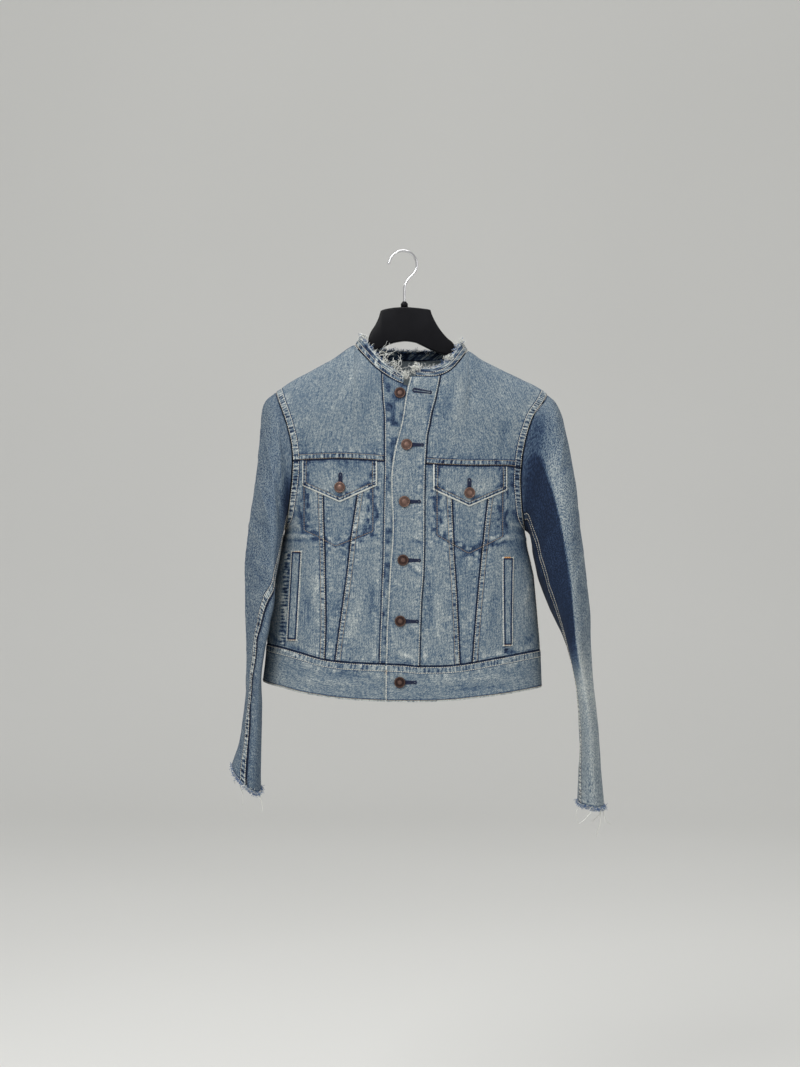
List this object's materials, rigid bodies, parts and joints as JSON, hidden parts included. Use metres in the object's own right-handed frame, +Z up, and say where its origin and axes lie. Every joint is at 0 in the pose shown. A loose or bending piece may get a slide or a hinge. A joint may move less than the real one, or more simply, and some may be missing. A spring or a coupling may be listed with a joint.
{
  "type": "cropped denim jacket on a hanger",
  "caption": "Cropped collarless denim jacket with raw neck band and cuffs, flap chest pockets, welt pockets and metal buttons, hung on a moulded hanger.",
  "frame": {"origin": "underside of the hanger hook's top, where a rail or another hook carries it", "axes": "+Z up, -Y out of the jacket's front, +X towards the wearer's left"},
  "size_m": [0.551, 0.1607, 0.8685],
  "materials": {
    "denim": "washed indigo twill with pale worn edges and dark seams",
    "fray": "loose cotton ends, white and pale blue",
    "thread": "ecru cotton sewing thread",
    "button_metal": "worn copper-coloured metal, satin",
    "hanger_plastic": "black, semi-matt",
    "hook_metal": "bright plated wire"
  },
  "bodies": {
    "root": {"front_yoke_right": "denim", "front_yoke_left": "denim", "front_side_right": "denim", "front_side_left": "denim", "front_wedge_right": "denim", "front_wedge_left": "denim", "front_centre_right": "denim", "front_centre_left": "denim", "placket_button_side": "denim", "placket_buttonhole_side": "denim", "pocket_flap_right": "denim", "pocket_flap_left": "denim", "pocket_bag_right": "denim", "pocket_bag_left": "denim", "pocket_welt_right": "denim", "pocket_welt_left": "denim", "back_yoke": "denim", "back_side_right": "denim", "back_side_left": "denim", "back_centre": "denim", "waistband": "denim", "neck_band": "denim", "neck_fray": "fray", "sleeve_upper_right": "denim", "sleeve_upper_left": "denim", "sleeve_upper_left_2": "denim", "sleeve_upper_left_3": "denim", "sleeve_under_right": "denim", "sleeve_under_left": "denim", "sleeve_under_left_2": "denim", "sleeve_under_left_3": "denim", "cuff_fray_right": "fray", "cuff_fray_left": "fray", "button_1": "button_metal", "button_2": "button_metal", "button_3": "button_metal", "button_4": "button_metal", "button_5": "button_metal", "button_6": "button_metal", "button_right_flap": "button_metal", "button_left_flap": "button_metal", "hanger_body": "hanger_plastic", "hanger_ferrule": "hanger_plastic", "hanger_hook": "hook_metal"}
  },
  "joints": []
}
